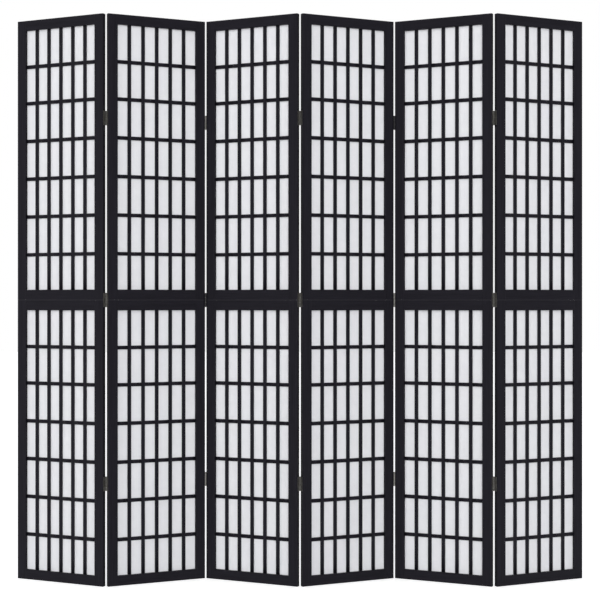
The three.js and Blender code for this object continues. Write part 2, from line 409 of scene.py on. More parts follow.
def build_paper_fibres():
    """Fibres that cross at random, and the thick and thin places of a sheet."""
    tree, start, end = new_group("paper fibres", {"Fibres per Metre": 420.0}, ("Fibres", "Clouds"))
    place = add_node(tree, "ShaderNodeAttribute", attribute_name="grain").outputs["Vector"]
    fibres = 0.0
    for turn, offset in ((20, 0.0), (80, 3.1), (141, 7.7)):
        inputs = {
            "Vector": place,
            "Location": (offset, offset, 0),
            "Rotation": (0, 0, math.radians(turn)),
            "Scale": (1, FIBRE_STRETCH, 1),
        }
        along = add_node(tree, "ShaderNodeMapping", inputs, vector_type="TEXTURE").outputs[0]
        fine = noise(tree, along, start.outputs["Fibres per Metre"], Detail=1.0, Distortion=0.6)
        off_middle = calculate(tree, "ABSOLUTE", calculate(tree, "SUBTRACT", fine, 0.5))
        fibres = calculate(tree, "MAXIMUM", fibres, spread(tree, off_middle, 0.035, 0.0))
    clouds = noise(tree, place, 38.0, Detail=4.0, Roughness=0.6)
    set_inputs(tree, end, {"Fibres": fibres, "Clouds": clouds})
    return tree


paper_group = build_paper_fibres()
print("group:", paper_group.name)

# %% White paper
PAPER_THIN = (0.773, 0.776, 0.796, 1)
PAPER_THICK = (0.805, 0.808, 0.826, 1)
PAPER_FIBRE = (0.838, 0.842, 0.858, 1)
LIGHT_THROUGH = 0.35


def make_paper():
    """White translucent paper."""
    material, tree, shader = new_material("white paper")
    felt = place_group(tree, paper_group)
    colour = blend_colours(tree, spread(tree, felt["Clouds"], 0.3, 0.7), PAPER_THIN, PAPER_THICK)
    colour = blend_colours(tree, calculate(tree, "MULTIPLY", felt["Fibres"], 0.6), colour, PAPER_FIBRE)
    set_inputs(tree, shader, {
        "Base Color": colour,
        "Roughness": 0.85,
        "Specular IOR Level": 0.2,
        "Normal": raised(tree, felt["Fibres"], 0.02 * MM),
    })
    through = add_node(tree, "ShaderNodeBsdfTranslucent", {"Color": colour}).outputs[0]
    both = add_node(tree, "ShaderNodeMixShader", {0: LIGHT_THROUGH, 1: shader.outputs[0], 2: through})
    set_inputs(tree, tree.nodes["Material Output"], {"Surface": both.outputs[0]})
    return material


white_paper = make_paper()
print("material:", white_paper.name)

# %% [markdown]
# ### Bare wood
#
# A loose tongue of planed softwood lines up the two halves of a panel. It is hidden in the mid rails, so
# its CAD solid stays and only gets this finish. The tongue's solid has no grain attribute, so its
# material stretches the object's own coordinates along X.

# %% Bare wood
WOOD_PALE = (0.52, 0.33, 0.16, 1)
WOOD_DARK = (0.34, 0.19, 0.085, 1)


def make_bare_wood():
    """Planed softwood with its grain along X."""
    material, tree, shader = new_material("bare wood")
    dust = place_group(tree, dust_group, {"Amount": 0.2})
    stretched = {"Vector": object_place(tree), "Scale": (0.03, 1, 1)}
    along = add_node(tree, "ShaderNodeMapping", stretched).outputs[0]
    rings = noise(tree, along, 260.0, Detail=4.0, Distortion=0.5)
    colour = blend_colours(tree, spread(tree, rings, 0.3, 0.7), WOOD_PALE, WOOD_DARK)
    set_inputs(tree, shader, {
        "Base Color": blend_colours(tree, dust["Mask"], colour, DUST_GREY),
        "Roughness": spread(tree, rings, 0.3, 0.7, 0.6, 0.78),
        "Normal": raised(tree, rings, 0.05 * MM),
    })
    return material


bare_wood = make_bare_wood()
print("material:", bare_wood.name)

# %% [markdown]
# ### Hinge steel
#
# The hinges are rolled from plain strip and left satin. Drawing the strip leaves fine lines along it, and
# handling leaves darker, duller patches. Two of the fifteen hinges are coloured near black. One function
# makes both finishes from their own colours.

# %% Hinge steel
# The lightest colour of each set is for edges: wear, and a painted highlight.
STEEL = {"clean": (0.31, 0.303, 0.287, 1), "dull": (0.23, 0.224, 0.208, 1), "abraded_and_highlit": (0.46, 0.45, 0.43, 1)}
NEAR_BLACK = {
    "clean": (0.070, 0.069, 0.072, 1),
    "dull": (0.050, 0.049, 0.052, 1),
    "abraded_and_highlit": (0.15, 0.148, 0.145, 1),
}


def make_steel(name, colours, roughness):
    """Drawn steel strip with dull patches, and lighter edges that are partly abrasion and partly painted
    highlight.
    """
    material, tree, shader = new_material(name)
    edge_mask_settings = {"Width": 0.35 * MM, "Patches per Metre": 150.0, "Coverage": 0.6}
    abrasion_and_highlight = place_group(tree, abraded_and_highlit_edges_group, edge_mask_settings)
    dust = place_group(tree, dust_group, {"Amount": 0.3, "Specks per Metre": 200.0})
    place = object_place(tree)
    patches = noise(tree, place, 140.0, Detail=4.0)
    drawn = add_node(tree, "ShaderNodeMapping", {"Vector": place, "Scale": (1, 1, 0.02)}).outputs[0]
    lines = noise(tree, drawn, 2600.0, Detail=2.0)
    colour = blend_colours(tree, spread(tree, patches, 0.4, 0.65), colours["clean"], colours["dull"])
    # Lighter edges: partly wear, partly a painted highlight where an arris catches the light.
    colour = blend_colours(tree, abrasion_and_highlight["Mask"], colour, colours["abraded_and_highlit"])
    set_inputs(tree, shader, {
        "Base Color": blend_colours(tree, dust["Mask"], colour, DUST_GREY),
        "Metallic": 1.0,
        "Roughness": spread(tree, patches, 0.35, 0.7, roughness, roughness + 0.14),
        "Normal": raised(tree, lines, 0.006 * MM),
    })
    return material


satin_steel = make_steel("satin steel", STEEL, 0.42)
black_steel = make_steel("near-black steel", NEAR_BLACK, 0.45)
print("materials:", satin_steel.name, "and", black_steel.name)

# %% [markdown]
# ## Joinery: boxes that are cut by boxes
#
# Every stile, rail and bar is a straight piece with square cuts: rebates, mortises, half-laps, seats for
# hinges. Booleans could make them, but they leave long thin triangles that shade badly. Here a member is
# made on the grid of all its cut planes instead: each cell of the grid is wood or air, and a face goes
# wherever the two meet. The mesh is all quads, closed, and exact.
#
# The arrises are eased with a Bevel modifier that reads a weight from each edge: wide on the outline of
# a half panel, narrow along the other long arrises and none in the joints.

# %% Grid joinery
ROUNDED, EASED = 1.0, 0.5


def inside(point, boxes):
    """Whether a point lies in one of the boxes."""
    return any(all(low[i] < point[i] < high[i] for i in range(3)) for low, high in boxes)


def grid_planes(wood, cuts, axis):
    """Where the grid is divided along an axis: all sides of the wood, and of the cuts within it."""
    ends = [corner[axis] for box in wood for corner in box]
    low, high = min(ends), max(ends)
    sides = ends + [corner[axis] for box in cuts for corner in box if low < corner[axis] < high]
    planes = []
    for side in sorted(sides):
        if not planes or side - planes[-1] > 1e-6:
            planes.append(side)
    return planes


def add_member(bm, wood, cuts):
    """Adds a member, the boxes of wood less the cuts, to a mesh. Returns its new faces."""
    planes = [grid_planes(wood, cuts, axis) for axis in range(3)]
    solid = set()
    for cell in itertools.product(*(range(len(p) - 1) for p in planes)):
        middle = [(p[i] + p[i + 1]) / 2 for p, i in zip(planes, cell)]
        if inside(middle, wood) and not inside(middle, cuts):
            solid.add(cell)
    corners, faces = {}, []

    def corner(index):
        if index not in corners:
            corners[index] = bm.verts.new([planes[a][index[a]] for a in range(3)])
        return corners[index]

    for cell in sorted(solid):
        for axis in range(3):
            u, v = (axis + 1) % 3, (axis + 2) % 3
            for side in (0, 1):
                beside = list(cell)
                beside[axis] += 1 if side else -1
                if tuple(beside) in solid:
                    continue
                loop = []
                for du, dv in ((0, 0), (1, 0), (1, 1), (0, 1)):
                    index = list(cell)
                    index[axis] += side
                    index[u] += du
                    index[v] += dv
                    loop.append(corner(tuple(index)))
                faces.append(bm.faces.new(loop if side else loop[::-1]))
    bm.normal_update()
    return faces


print("grid joinery is ready")

# %% [markdown]
# Two marks go on each member while it is still easy to tell which it is: the weight of its arrises, and
# its grain coordinates. A member's offset in the grain comes from a seeded generator, so that the screen
# is the same each time.

# %% Marks on a member
def mark_arrises(bm, faces, along, outline):
    """Weights for the bevel: outline is the box of the half panel, along the member's long axis."""
    weights = bm.edges.layers.float.get("bevel_weight_edge") or bm.edges.layers.float.new("bevel_weight_edge")
    for edge in {edge for face in faces for edge in face.edges}:
        if len(edge.link_faces) != 2 or edge.calc_face_angle_signed() < 1:
            continue
        step = edge.verts[1].co - edge.verts[0].co
        axis = max(range(3), key=lambda i: abs(step[i]))
        place = edge.verts[0].co
        on_outline = [
            any(abs(place[i] - corner[i]) < 1e-6 for corner in outline) for i in range(3) if i != axis
        ]
        if all(on_outline):
            edge[weights] = ROUNDED
        elif axis == along:
            edge[weights] = EASED


def mark_grain(bm, faces, along, draw):
    """Grain coordinates: two across the member, the last one along it."""
    grain = bm.verts.layers.float_vector.get("grain") or bm.verts.layers.float_vector.new("grain")
    across = [i for i in range(3) if i != along]
    offset = Vector((draw.uniform(0, 3), draw.uniform(0, 3), draw.uniform(0, 9)))
    for vert in {vert for face in faces for vert in face.verts}:
        vert[grain] = Vector((vert.co[across[0]], vert.co[across[1]], vert.co[along])) + offset


print("marks are ready")

# %% Finished pieces
ARRIS = 0.7 * MM


def mesh_from(bm, name):
    """Ends a bmesh as a mesh."""
    mesh = bpy.data.meshes.new(name)
    bm.to_mesh(mesh)
    bm.free()
    return mesh


def smooth(mesh, sharpest):
    """Shades a mesh smooth, except where it turns by more than an angle in degrees."""
    mesh.shade_smooth()
    mesh.set_sharp_from_angle(angle=math.radians(sharpest))
    return mesh


def finished_object(name, mesh, material, body, replaced):
    """An object for a mesh, with its finish, on its body and in the place of CAD nodes."""
    mesh.materials.append(material)
    piece = add_object(name, mesh)
    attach(piece, body)
    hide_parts(*replaced)
    return piece


def wooden_piece(part, bm, panel, half):
    """Members of a half panel as one lacquered object in its place, with eased arrises."""
    bm.transform(panel_place(panel))
    name = f"panel_{panel}_{half}_{part}"
    mesh = mesh_from(bm, name)
    mesh.shade_smooth()
    replaced = [f"panel_{panel}_{half}_frame"]
    piece = finished_object(name, mesh, lacquer, f"panel_{panel}", replaced)
    bevel = piece.modifiers.new("eased arrises", "BEVEL")
    bevel.limit_method = "WEIGHT"
    bevel.width = ARRIS
    bevel.segments = 2
    bevel.use_clamp_overlap = False
    bevel.harden_normals = True
    return piece


print(f"arrises are eased by {ARRIS * ROUNDED / MM:.2f} and {ARRIS * EASED / MM:.2f} mm")

# %% [markdown]
# ## The frame of a half panel
#
# Two stiles run the full height of the half, and two rails are tenoned between them. The stiles carry
# the seats of the hinges, cut into their outer edges. The middle hinge lies across the joint of the two
# halves, so each half has a part of its seat. All four members have a rebate at the back for the paper,
# and housings for the ends of the bars.

# %% Sizes of the joints
TENON_LENGTH = 8 * MM
TENON_FRONT, TENON_BACK = 4.3 * MM, 10.3 * MM
TENON_SHOULDER = 7 * MM
BAR_TENON = 5 * MM
PLAY = 0.1 * MM

TONGUE_WIDTH, TONGUE_HEIGHT, TONGUE_THICKNESS = 240 * MM, 32 * MM, 5 * MM
TONGUE_PLAY = 0.3 * MM

HINGE_HEIGHT = 55 * MM
HINGE_LEVELS = {"top": 1800 * MM, "middle": 1100 * MM, "bottom": 393 * MM}
LEAF_WIDTH = 14.5 * MM
SEAT_DEPTH = 1.5 * MM
SEAT_PLAY = 0.3 * MM


def widened(low, high, play):
    """A box made larger all round."""
    return [x - play for x in low], [x + play for x in high]


print(f"rail tenons are {(TENON_BACK - TENON_FRONT) / MM:.0f} mm thick")


# %% Cuts in the frame
def barrel_side(fold):
    """Odd folds come towards the viewer and have their barrels behind."""
    return "back" if fold % 2 else "front"


def hinge_seats(panel):
    """Cuts in the outer edges of a panel's stiles."""
    seats = []
    for fold in (panel - 1, panel):
        if not 1 <= fold < PANELS:
            continue
        x = (-MM, SEAT_DEPTH) if fold < panel else (PANEL_WIDTH - SEAT_DEPTH, PANEL_WIDTH + MM)
        width = LEAF_WIDTH + SEAT_PLAY
        y = (-MM, width) if barrel_side(fold) == "front" else (THICKNESS - width, THICKNESS + MM)
        for level in HINGE_LEVELS.values():
            reach = HINGE_HEIGHT / 2 + SEAT_PLAY
            seats.append(((x[0], y[0], level - reach), (x[1], y[1], level + reach)))
    return seats


def bar_boxes(half):
    """The bars of a half with their tenons: uprights, then levels."""
    _, _, low, high = half_levels(half)
    uprights = [
        ((x, BAR_FRONT, low - BAR_TENON), (x + BAR_WIDTH, BAR_BACK, high + BAR_TENON))
        for x in upright_bars()
    ]
    left, right = OPENING_LEFT - BAR_TENON, OPENING_RIGHT + BAR_TENON
    levels = [((left, BAR_FRONT, z), (right, BAR_BACK, z + BAR_WIDTH)) for z in level_bars(half)]
    return uprights, levels


def frame_cuts(panel, half):
    """All cuts of a half frame: rebate, housings of the bars, seats of the hinges and slot of the tongue."""
    _, _, low, high = half_levels(half)
    rebate = (
        (OPENING_LEFT - REBATE_WIDTH, BAR_BACK, low - REBATE_WIDTH),
        (OPENING_RIGHT + REBATE_WIDTH, THICKNESS + MM, high + REBATE_WIDTH),
    )
    uprights, levels = bar_boxes(half)
    housings = [widened(*bar, PLAY) for bar in uprights + levels]
    middle = (PANEL_WIDTH / 2, THICKNESS / 2, PANEL_HEIGHT / 2)
    reach = (TONGUE_WIDTH / 2, TONGUE_THICKNESS / 2, TONGUE_HEIGHT / 2)
    low_corner = [m - r for m, r in zip(middle, reach)]
    high_corner = [m + r for m, r in zip(middle, reach)]
    slot = widened(low_corner, high_corner, TONGUE_PLAY)
    return [rebate, slot, *housings, *hinge_seats(panel)]


print("panel 2 has", len(hinge_seats(2)), "hinge seats")


# %% Members of a half frame
def frame_members(half):
    """For each member its boxes of wood, its own cuts and its long axis."""
    bottom, top, low, high = half_levels(half)
    rails = ((bottom, low), (high, top))
    tenons = [
        ((x0, TENON_FRONT, z0 + TENON_SHOULDER), (x1, TENON_BACK, z1 - TENON_SHOULDER))
        for z0, z1 in rails
        for x0, x1 in (
            (OPENING_LEFT - TENON_LENGTH, OPENING_LEFT + MM),
            (OPENING_RIGHT - MM, OPENING_RIGHT + TENON_LENGTH),
        )
    ]
    mortises = [widened(*tenon, PLAY) for tenon in tenons]
    members = []
    for x0, x1 in ((0, OPENING_LEFT), (OPENING_RIGHT, PANEL_WIDTH)):
        members.append(([((x0, 0, bottom), (x1, THICKNESS, top))], mortises, 2))
    for index, (z0, z1) in enumerate(rails):
        body = ((OPENING_LEFT + PLAY, 0, z0), (OPENING_RIGHT - PLAY, THICKNESS, z1))
        members.append(([body, *tenons[2 * index : 2 * index + 2]], [], 0))
    return members


def add_marked(bm, wood, cuts, along, half, draw):
    """Adds a member of a half panel with its marks."""
    bottom, top, _, _ = half_levels(half)
    faces = add_member(bm, wood, cuts)
    mark_arrises(bm, faces, along, ((0, 0, bottom), (PANEL_WIDTH, THICKNESS, top)))
    mark_grain(bm, faces, along, draw)


def build_frame(panel, half):
    """Stiles and rails of a half panel."""
    bm = bmesh.new()
    draw = random.Random(f"frame {panel} {half}")
    for wood, cuts, along in frame_members(half):
        add_marked(bm, wood, cuts + frame_cuts(panel, half), along, half, draw)
    return wooden_piece("stiles_and_rails", bm, panel, half)


HALVES = [(panel, half) for panel in range(1, PANELS + 1) for half in ("upper", "lower")]
frames = [build_frame(panel, half) for panel, half in HALVES]
print(len(frames), "half frames, the first with", len(frames[0].data.polygons), "faces")

# %% [markdown]
# ## The lattice
#
# Five uprights and six level bars cross in each half. At a crossing each bar loses half of its depth, so
# that both lie flush: the uprights are notched from behind and run unbroken in front, and the level bars
# are notched in front and run unbroken behind. The notches have a tenth of a millimetre of play, which
# shows as the fine line that a half-lap has.

# %% Lattice
def build_lattice(panel, half):
    """Uprights and level bars of a half panel, half-lapped where they cross."""
    bm = bmesh.new()
    uprights, levels = bar_boxes(half)
    lap = BAR_FRONT + BAR_DEPTH / 2
    behind = ((-1, lap, -1), (1, 1, 3))
    in_front = ((-1, -1, -1), (1, lap, 3))
    draw = random.Random(f"lattice {panel} {half}")
    for bars, crossing, side, along in ((uprights, levels, behind, 2), (levels, uprights, in_front, 0)):
        notches = []
        for bar in crossing:
            low, high = widened(*bar, PLAY)
            low = [max(pair) for pair in zip(low, side[0])]
            high = [min(pair) for pair in zip(high, side[1])]
            notches.append((low, high))
        for bar in bars:
            add_marked(bm, [bar], notches, along, half, draw)
    return wooden_piece("lattice", bm, panel, half)


lattices = [build_lattice(panel, half) for panel, half in HALVES]
print(len(lattices), "lattices, the first with", len(lattices[0].data.polygons), "faces")

# %% [markdown]
# ## The paper
#
# A sheet covers the whole opening of a half from behind, glued to the backs of the bars and to the ledge
# of the rebate. Where it is glued it is flat. In a cell it is free, and after the paste has dried it
# bellies by a few tenths of a millimetre, forward or back. That is too little to see as a shape, but it
# gives each cell its own faint shade. It could be a bump in the material, but then the sheet would be
# flat in the mesh and seen from its edge.
#
# The sheet is a grid of points: fine steps across each cell and one step across each bar.

# %% Paper
PAPER_FRONT = BAR_BACK + 0.3 * MM
PAPER_THICKNESS = 0.5 * MM
PAPER_BORDER = REBATE_WIDTH - 0.3 * MM
BELLY = 0.28 * MM
STEPS_ACROSS, STEPS_UP = 6, 10


def sheet_lines(bars, low, high, steps):
    """Grid lines over cells and bars, each with its cell and how far across the cell it is."""
    edges = [low, *[x for bar in bars for x in (bar, bar + BAR_WIDTH)], high]
    lines = [(low - PAPER_BORDER, 0, 0.0)]
    for cell in range(len(bars) + 1):
        start, end = edges[2 * cell], edges[2 * cell + 1]
        lines += [(start + (end - start) * i / steps, cell, i / steps) for i in range(steps + 1)]
    return [*lines, (high + PAPER_BORDER, 0, 0.0)]


def build_paper(panel, half):
    """One sheet of paper with a slight belly in each cell."""
    _, _, low, high = half_levels(half)
    across = sheet_lines(upright_bars(), OPENING_LEFT, OPENING_RIGHT, STEPS_ACROSS)
    up = sheet_lines(level_bars(half), low, high, STEPS_UP)
    draw = random.Random(f"paper {panel} {half}")
    belly = {(i, j): draw.uniform(-1, 1) * BELLY for i in range(COLUMNS) for j in range(ROWS)}
    bm = bmesh.new()
    grain = bm.verts.layers.float_vector.new("grain")
    offset = Vector((draw.uniform(0, 5), draw.uniform(0, 5), 0))
    rows = {}
    for face, y in (("front", PAPER_FRONT), ("back", PAPER_FRONT + PAPER_THICKNESS)):
        for a, (x, column, u) in enumerate(across):
            for b, (z, row, v) in enumerate(up):
                bulge = belly[column, row] * math.sin(math.pi * u) ** 0.8 * math.sin(math.pi * v) ** 0.6
                vert = bm.verts.new((x, y + bulge, z))
                vert[grain] = Vector((x, z, y)) + offset
                rows[face, a, b] = vert
    last_a, last_b = len(across) - 1, len(up) - 1
    for a in range(last_a):
        for b in range(last_b):
            square = ((a, b), (a + 1, b), (a + 1, b + 1), (a, b + 1))
            bm.faces.new([rows["front", *p] for p in square])
            bm.faces.new([rows["back", *p] for p in square[::-1]])
    rim = [(a, 0) for a in range(last_a)] + [(last_a, b) for b in range(last_b)]
    rim += [(a, last_b) for a in range(last_a, 0, -1)] + [(0, b) for b in range(last_b, 0, -1)]
    for p, q in zip(rim, rim[1:] + rim[:1]):
        bm.faces.new((rows["front", *q], rows["front", *p], rows["back", *p], rows["back", *q]))
    bm.transform(panel_place(panel))
    name = f"panel_{panel}_{half}_sheet"
    mesh = smooth(mesh_from(bm, name), 40)
    replaced = [f"panel_{panel}_{half}_paper"]
    return finished_object(name, mesh, white_paper, f"panel_{panel}", replaced)


sheets = [build_paper(panel, half) for panel, half in HALVES]
print(len(sheets), "sheets of paper, each of", len(sheets[0].data.polygons), "faces")

# %% [markdown]
# ## The hinges
#
# A hinge is two leaves of 1.2 mm strip and a pin. Each leaf is screwed into its seat and rolled round the
# pin in knuckles that interleave: the pin leaf has the two outer ones, the plain leaf the middle one.
# The pin stands clear of the panels' faces, so that the screen can be opened flat and folded up.
#
# The leaves are made once, on the pin axis, and copied to each hinge. A leaf is a plate joined to its
# knuckles by boolean unions, with the screw holes cut as booleans too: these solids are small, and the
# shape of a rolled knuckle isn't one for the grid. The knuckle's outline shows how it is made. The strip
# leaves the plate, goes round the pin and stops just short of where it began, which leaves a groove.

# %% Outline of a knuckle
LEAF_THICKNESS = 1.2 * MM
LEAF_GAP = 1 * MM
KNUCKLES = 3
KNUCKLE_GAP = 0.3 * MM
KNUCKLE_RADIUS = 4 * MM
PIN_RADIUS = 1.5 * MM
PIN_OFFSET = KNUCKLE_RADIUS + 0.45 * MM
ROUND_STEPS = 40


def arc(radius, start, end, steps):
    """Points on an arc round the pin, angles in radians."""
    angles = [start + (end - start) * i / steps for i in range(steps + 1)]
    return [(radius * math.cos(a), radius * math.sin(a)) for a in angles]


def knuckle_outline():
    """The rolled strip seen along the pin, from the plate round and back to it."""
    near = LEAF_GAP / 2
    far = near + LEAF_THICKNESS
    end = PIN_OFFSET + 0.5 * LEAF_THICKNESS
    groove = math.radians(5)
    first = math.acos(near / KNUCKLE_RADIUS) + groove
    last = 2 * math.pi + math.acos(far / KNUCKLE_RADIUS)
    root = (near, KNUCKLE_RADIUS - 0.7 * MM)
    return [root, *arc(KNUCKLE_RADIUS, first, last, ROUND_STEPS), (far, end), (near, end)]


print("a knuckle's outline has", len(knuckle_outline()), "points")

# %% [markdown]
# Three helpers make the hinge's solids: an outline with a hole drawn up to a prism, a profile turned
# about the pin axis, and booleans between solids.

# %% Solids for the hinge
def closed_mesh(bm, name):
    """Ends a bmesh as a mesh with its normals outwards."""
    bmesh.ops.recalc_face_normals(bm, faces=bm.faces)
    return mesh_from(bm, name)


def prism(outlines, z0, z1):
    """A prism from its outline and the outlines of its holes."""
    bm = bmesh.new()
    edges = []
    for outline in outlines:
        loop = [bm.verts.new((x, y, z0)) for x, y in outline]
        edges += [bm.edges.new(pair) for pair in zip(loop, loop[1:] + loop[:1])]
    bmesh.ops.triangle_fill(bm, use_beauty=True, edges=edges)
    top = bmesh.ops.extrude_face_region(bm, geom=bm.faces[:])["geom"]
    lifted = [part for part in top if isinstance(part, bmesh.types.BMVert)]
    bmesh.ops.translate(bm, verts=lifted, vec=(0, 0, z1 - z0))
    return closed_mesh(bm, "prism")


def turned(profile, steps=ROUND_STEPS):
    """A solid of revolution about Z. The profile is radius and height, from the lower pole to the upper."""
    bm = bmesh.new()
    rings = []
    for radius, z in profile:
        if radius:
            rings.append([bm.verts.new((x, y, z)) for x, y in arc(radius, 0, 2 * math.pi, steps)[:-1]])
        else:
            rings.append([bm.verts.new((0, 0, z))] * steps)
    for lower, upper in zip(rings, rings[1:]):
        for i in range(steps):
            j = (i + 1) % steps
            corners = [lower[i], lower[j], upper[j], upper[i]]
            bm.faces.new(list(dict.fromkeys(corners)))
    return closed_mesh(bm, "turned")


def combined(base, changes):
    """A mesh after boolean operations: each change is UNION or DIFFERENCE and a mesh."""
    whole = add_object("whole", base)
    tools = [add_object("tool", mesh) for _, mesh in changes]
    for (operation, _), tool in zip(changes, tools):
        step = whole.modifiers.new("cut", "BOOLEAN")
        step.operation = operation
        step.object = tool
        step.solver = "EXACT"
    bpy.context.view_layer.update()
    seen = bpy.context.evaluated_depsgraph_get()
    result = bpy.data.meshes.new_from_object(whole.evaluated_get(seen))
    for leftover in (whole, *tools):
        bpy.data.objects.remove(leftover)
    return result


print("solids for the hinge are ready")

# %% [markdown]
# The screws are countersunk, with cross recesses. Only their heads are modelled: the shanks are hidden
# in the wood. The head's profile is turned, and a cross is cut from its face.

# %% Leaves, pin and screw heads
SCREW_LEVELS = (-16 * MM, 16 * MM)
SCREW_REACH = PIN_OFFSET + 9.2 * MM
HEAD_RADIUS = 3.1 * MM
PLATE_EASE = 0.15 * MM


def plate():
    """The flat part of a leaf, with its edges eased."""
    bm = bmesh.new()
    low = Vector((LEAF_GAP / 2, PIN_OFFSET, -HINGE_HEIGHT / 2))
    high = Vector((LEAF_GAP / 2 + LEAF_THICKNESS, PIN_OFFSET + LEAF_WIDTH, HINGE_HEIGHT / 2))
    add_member(bm, [(low, high)], [])
    bmesh.ops.bevel(bm, geom=bm.edges[:], offset=PLATE_EASE, segments=2, profile=0.5, affect="EDGES")
    return closed_mesh(bm, "plate")


def upright_to_stile(mesh, y, z):
    """Turns a screw-shaped mesh, made along Z, to point into the stile at the place of a screw."""
    face = LEAF_GAP / 2
    mesh.transform(Matrix.Translation((face, y, z)) @ Matrix.Rotation(math.radians(-90), 4, "Y"))
    return mesh


def build_leaf(kind):
    """A leaf with its knuckles and its countersunk holes."""
    height = (HINGE_HEIGHT - (KNUCKLES - 1) * KNUCKLE_GAP) / KNUCKLES
    bore = PIN_RADIUS + (0.05 if kind == "pin" else 0.3) * MM
    hole = arc(bore, 0, 2 * math.pi, 24)[:-1]
    changes = []
    for index in range(0 if kind == "pin" else 1, KNUCKLES, 2):
        z0 = -HINGE_HEIGHT / 2 + index * (height + KNUCKLE_GAP)
        changes.append(("UNION", prism([knuckle_outline(), hole], z0, z0 + height)))
    wide = HEAD_RADIUS + 0.15 * MM
    sink = [(0, -2 * MM), (wide - 2 * MM, -2 * MM), (wide + 0.5 * MM, 0.5 * MM), (0, 0.5 * MM)]
    for z in SCREW_LEVELS:
        changes.append(("DIFFERENCE", upright_to_stile(turned(sink), SCREW_REACH, z)))
    return smooth(combined(plate(), changes), 32)


leaf_meshes = {kind: build_leaf(kind) for kind in ("pin", "plain")}
print("leaves:", {kind: len(mesh.polygons) for kind, mesh in leaf_meshes.items()}, "faces")


# %% Pin and screw heads
def build_pin():
    """The pin, with its ends riveted over into low domes."""
    dome = ((2.5, 0), (2.45, 0.15), (2.1, 0.32), (1.2, 0.45), (0, 0.5))
    end = HINGE_HEIGHT / 2
    upper = [(PIN_RADIUS, end), *[(r * MM, end + z * MM) for r, z in dome]]
    lower = [(r, -z) for r, z in reversed(upper)]
    return smooth(turned([*lower, *upper], 24), 40)


def build_screw_heads():
    """Both screw heads of a leaf."""
    profile = [
        (0, -1.15 * MM),
        (HEAD_RADIUS - 1.15 * MM, -1.15 * MM),
        (HEAD_RADIUS, -0.05 * MM),
        (2.4 * MM, 0.06 * MM),
        (0, 0.12 * MM),
    ]
    wing, half_slot, depth = 1.7 * MM, 0.35 * MM, 0.9 * MM
    cross = [((-x, -y, -depth), (x, y, MM)) for x, y in ((wing, half_slot), (half_slot, wing))]
    heads = bmesh.new()
    for z, twist in zip(SCREW_LEVELS, (23, 61)):
        recess = bmesh.new()
        add_member(recess, cross, [])
        recess.transform(Matrix.Rotation(math.radians(twist), 4, "Z"))
        head = combined(turned(profile, 28), [("DIFFERENCE", closed_mesh(recess, "recess"))])
        heads.from_mesh(upright_to_stile(head, SCREW_REACH, z))
    return smooth(closed_mesh(heads, "screw heads"), 32)


pin_mesh = build_pin()
screw_mesh = build_screw_heads()
print("a pin has", len(pin_mesh.polygons), "faces and a pair of screw heads", len(screw_mesh.polygons))

# %% [markdown]
# ### Hanging the hinges
#
# A leaf is made for a left edge with its barrel in front. Half a turn about one axis or another brings
# it to the other three cases, and mirroring is never needed, which would turn the rolled groove to the
# wrong side. Each leaf rides on the panel that it is screwed to, and the pin on the panel of the pin
# leaf.

# %% Hinges
HALF_TURN = {
    ("left", "front"): Matrix.Identity(4),
    ("left", "back"): Matrix.Rotation(math.pi, 4, "X"),
    ("right", "front"): Matrix.Rotation(math.pi, 4, "Y"),
    ("right", "back"): Matrix.Rotation(math.pi, 4, "Z"),
}
BLACK_HINGES = ((2, "middle"), (4, "top"))


def leaf_place(panel, side, barrel, level):
    """From the pin axis to the edge of a standing panel."""
    x = -LEAF_GAP / 2 if side == "left" else PANEL_WIDTH + LEAF_GAP / 2
    y = -PIN_OFFSET if barrel == "front" else THICKNESS + PIN_OFFSET
    return panel_place(panel) @ Matrix.Translation((x, y, level)) @ HALF_TURN[side, barrel]


def hang(name, mesh, place, finish, body, node):
    """A copy of a hinge's mesh in its place."""
    copy = mesh.copy()
    copy.transform(place)
    return finished_object(name, copy, finish, body, [node])


def build_hinge(fold, where):
    """Leaves, screw heads and pin of one hinge."""
    finish = black_steel if (fold, where) in BLACK_HINGES else satin_steel
    name = f"hinge_{fold}_{fold + 1}_{where}"
    pieces = []
    for kind, side, panel in (("pin", "right", fold), ("plain", "left", fold + 1)):
        place = leaf_place(panel, side, barrel_side(fold), HINGE_LEVELS[where])
        body, node = f"panel_{panel}", f"{name}_{kind}_leaf"
        pieces.append(hang(f"{name}_{kind}_strip", leaf_meshes[kind], place, finish, body, node))
        pieces.append(hang(f"{name}_{kind}_screws", screw_mesh, place, finish, body, node))
        if kind == "pin":
            pieces.append(hang(f"{name}_pin", pin_mesh, place, finish, body, node))
    return pieces


hinge_pieces = []
for fold in range(1, PANELS):
    for where in HINGE_LEVELS:
        hinge_pieces += build_hinge(fold, where)
print(len(hinge_pieces), "pieces of hinges")

# %% [markdown]
# ## The tongues
#
# The loose tongues between the halves keep their CAD solids, because nothing of them is seen. They get
# the bare wood.

# %% Tongues
for panel in range(1, PANELS + 1):
    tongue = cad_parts[f"panel_{panel}_tongue"]
    tongue.data.materials.clear()
    tongue.data.materials.append(bare_wood)
print(PANELS, "tongues in bare wood")

# %% [markdown]
# ## Floor, background and light
#
# The photograph has a pure white ground with no line between floor and wall. The world is white to the
# camera and a little dimmer as a light. The floor is pale and takes the screen's shadow. It also glows:
# strongly to the camera, so that open floor comes out as white as the background, and weakly as a light,
# so that the low cells of the screen, which stand in its own shadow, are as white as the high ones.
#
# Three soft lamps stand far off: a strong one in front, a weak one on the left, which makes the panels
# that face left a touch brighter than those that face right, and one behind, which shines through the
# paper. They are far off, because a near one would light one end of the screen more than the other, and
# the photograph is even.
#
# Metal shows what it mirrors. In the photograph the barrels that point at the camera are dark, as they
# are in a studio whose walls are lit and whose front, where the camera stands, isn't. So the lamps are
# hidden from mirrored rays, and to those the world is dark towards the front and dimmer on the right.

# %% World
WORLD_LIGHT = 0.44
DARK_FRONT = 0.05
RIGHT_SIDE = 0.75


